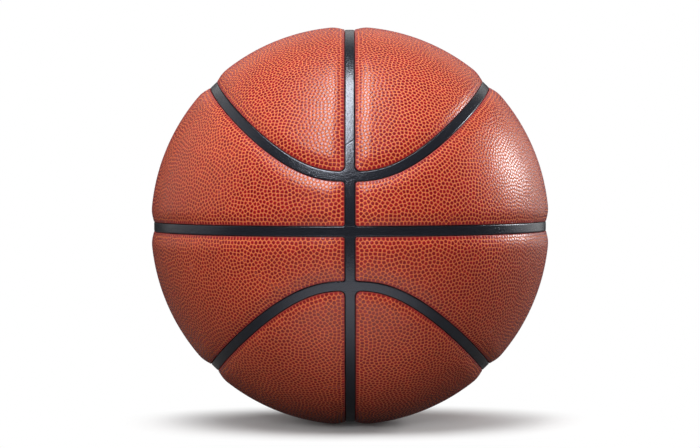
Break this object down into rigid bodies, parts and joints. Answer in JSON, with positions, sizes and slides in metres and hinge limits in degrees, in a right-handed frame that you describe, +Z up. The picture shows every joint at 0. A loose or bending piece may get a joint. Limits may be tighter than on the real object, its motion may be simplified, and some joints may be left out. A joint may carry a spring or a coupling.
{
  "type": "basketball",
  "caption": "Full-size basketball with pebbled orange cover panels, black channel strips, a wound carcass, an air bladder and a self-sealing needle valve.",
  "frame": {"origin": "centre of the ball", "axes": "+Z up through the middle of the upper oval seam; X = 0 is the plane of the upright seam and Z = 0 that of the level seam, so -Y faces the camera of the picture"},
  "size_m": [0.2398, 0.239, 0.2398],
  "materials": {
    "bladder": "satin",
    "winding": "matte",
    "carcass": "matte",
    "valve_housing": "satin",
    "valve_core": "satin",
    "cushion_pad": "matte",
    "cover_panel": "satin",
    "channel_strip": "satin"
  },
  "bodies": {
    "root": {"bladder": "bladder", "winding": "winding", "carcass": "carcass", "valve_housing": "valve_housing", "valve_core": "valve_core", "pad_end_upper_left": "cushion_pad", "pad_end_upper_right": "cushion_pad", "pad_end_lower_left": "cushion_pad", "pad_end_lower_right": "cushion_pad", "pad_side_upper_left": "cushion_pad", "pad_side_upper_right": "cushion_pad", "pad_side_lower_left": "cushion_pad", "pad_side_lower_right": "cushion_pad", "panel_end_upper_left": "cover_panel", "panel_end_upper_right": "cover_panel", "panel_end_lower_left": "cover_panel", "panel_end_lower_right": "cover_panel", "panel_side_upper_left": "cover_panel", "panel_side_upper_right": "cover_panel", "panel_side_lower_left": "cover_panel", "panel_side_lower_right": "cover_panel", "strip_equator": "channel_strip", "strip_oval_upper": "channel_strip", "strip_oval_lower": "channel_strip", "strip_top": "channel_strip", "strip_bottom": "channel_strip", "strip_front_upper": "channel_strip", "strip_front_lower": "channel_strip", "strip_back_upper": "channel_strip", "strip_back_lower": "channel_strip"}
  },
  "joints": []
}
